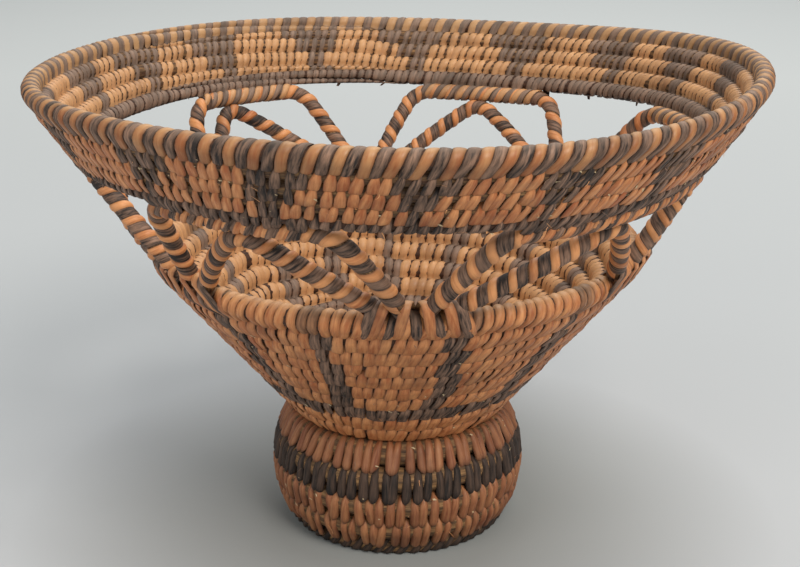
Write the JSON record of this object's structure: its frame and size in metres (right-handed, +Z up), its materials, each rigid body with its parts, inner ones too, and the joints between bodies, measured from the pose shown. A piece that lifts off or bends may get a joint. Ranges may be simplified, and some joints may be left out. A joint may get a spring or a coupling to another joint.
{
  "type": "coiled footed basket",
  "caption": "Round coiled basket on a tall foot, with open-work arches between the bowl and a patterned band under the rim.",
  "frame": {"origin": "on the ground under the middle of the foot", "axes": "+Z up through the middle of the foot and bowl; -Y is the side that faces the viewer, +X to the viewer's right"},
  "size_m": [0.2956, 0.302, 0.2043],
  "materials": {
    "tan_splint": "split plant fibre, satin, tan",
    "glossy_splint": "split plant fibre, polished by use, yellow tan",
    "black_splint": "split plant fibre, matt, black brown",
    "wrapped_rod": "tan and black strips wound in turn"
  },
  "bodies": {
    "root": {"foot_base_round": "black_splint", "foot_lower_coil": "tan_splint", "foot_dark_round": "black_splint", "foot_top_round": "tan_splint", "start_knot": "tan_splint", "floor_coil": "tan_splint", "bowl_lower_coil": "tan_splint", "bowl_dark_round": "black_splint", "bowl_upper_coil": "tan_splint", "bowl_rim_coil": "glossy_splint", "openwork_hoop_1": "wrapped_rod", "openwork_hoop_2": "wrapped_rod", "openwork_hoop_3": "wrapped_rod", "openwork_hoop_4": "wrapped_rod", "openwork_hoop_5": "wrapped_rod", "openwork_hoop_6": "wrapped_rod", "openwork_peak_1": "wrapped_rod", "openwork_peak_2": "wrapped_rod", "openwork_peak_3": "wrapped_rod", "openwork_peak_4": "wrapped_rod", "openwork_peak_5": "wrapped_rod", "openwork_peak_6": "wrapped_rod", "band_dark_round": "black_splint", "band_coil": "tan_splint", "rim_coil": "glossy_splint"}
  },
  "joints": []
}
